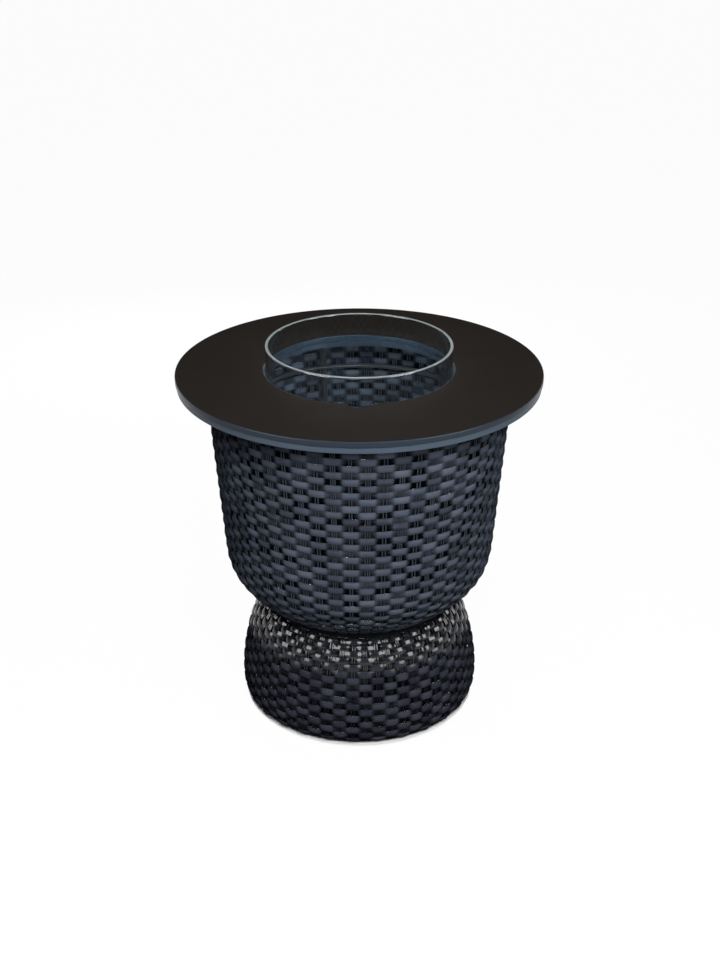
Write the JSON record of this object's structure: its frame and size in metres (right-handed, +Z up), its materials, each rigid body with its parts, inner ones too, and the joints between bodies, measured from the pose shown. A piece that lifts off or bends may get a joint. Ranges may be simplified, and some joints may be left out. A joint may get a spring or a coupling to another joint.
{
  "type": "ice bucket coffee table",
  "caption": "Low round side table in flat woven rattan on a rod frame, with a lift-out clear ice bowl through its round top.",
  "frame": {"origin": "on the floor, under the middle of the round top", "axes": "+Z up; -Y is the front, where the finger notch in the top is; +X to the right seen from the front"},
  "size_m": [0.42, 0.42, 0.454],
  "materials": {
    "top_laminate": "matt brown-black compact laminate",
    "edge_metal": "satin dark blue-grey paint",
    "rattan": "semi-gloss flat synthetic rattan, finely ribbed along the strand",
    "clear_plastic": "clear polished acrylic",
    "frame_metal": "satin black powder coat on aluminium rod",
    "screw_steel": "plain stainless steel",
    "pad_rubber": "translucent grey silicone",
    "glide_plastic": "black nylon"
  },
  "bodies": {
    "table": {"top_panel": "top_laminate", "edge_band": "edge_metal", "hole_band": "edge_metal", "tub_weave": "rattan", "foot_weave": "rattan", "mounting_ring": "frame_metal", "top_screw_1": "screw_steel", "top_screw_2": "screw_steel", "top_screw_3": "screw_steel", "top_screw_4": "screw_steel", "top_screw_5": "screw_steel", "top_screw_6": "screw_steel", "upper_hoop": "frame_metal", "shoulder_hoop": "frame_metal", "waist_hoop": "frame_metal", "belly_hoop": "frame_metal", "sole_hoop": "frame_metal", "tub_rib_1": "frame_metal", "tub_rib_2": "frame_metal", "tub_rib_3": "frame_metal", "tub_rib_4": "frame_metal", "tub_rib_5": "frame_metal", "tub_rib_6": "frame_metal", "foot_rib_1": "frame_metal", "foot_rib_2": "frame_metal", "foot_rib_3": "frame_metal", "foot_rib_4": "frame_metal", "foot_rib_5": "frame_metal", "foot_rib_6": "frame_metal", "cradle_ring": "frame_metal", "cradle_arm_1": "frame_metal", "cradle_arm_2": "frame_metal", "cradle_arm_3": "frame_metal", "bowl_pad_1": "pad_rubber", "bowl_pad_2": "pad_rubber", "bowl_pad_3": "pad_rubber", "glide_1": "glide_plastic", "glide_2": "glide_plastic", "glide_3": "glide_plastic", "glide_4": "glide_plastic", "glide_5": "glide_plastic", "glide_6": "glide_plastic"},
    "bowl": {"ice_bowl": "clear_plastic"}
  },
  "joints": [
    {"name": "bowl_lift", "type": "slide", "parent": "table", "child": "bowl", "axis": [0, 0, 1], "range_m": [0, 0.2]}
  ]
}
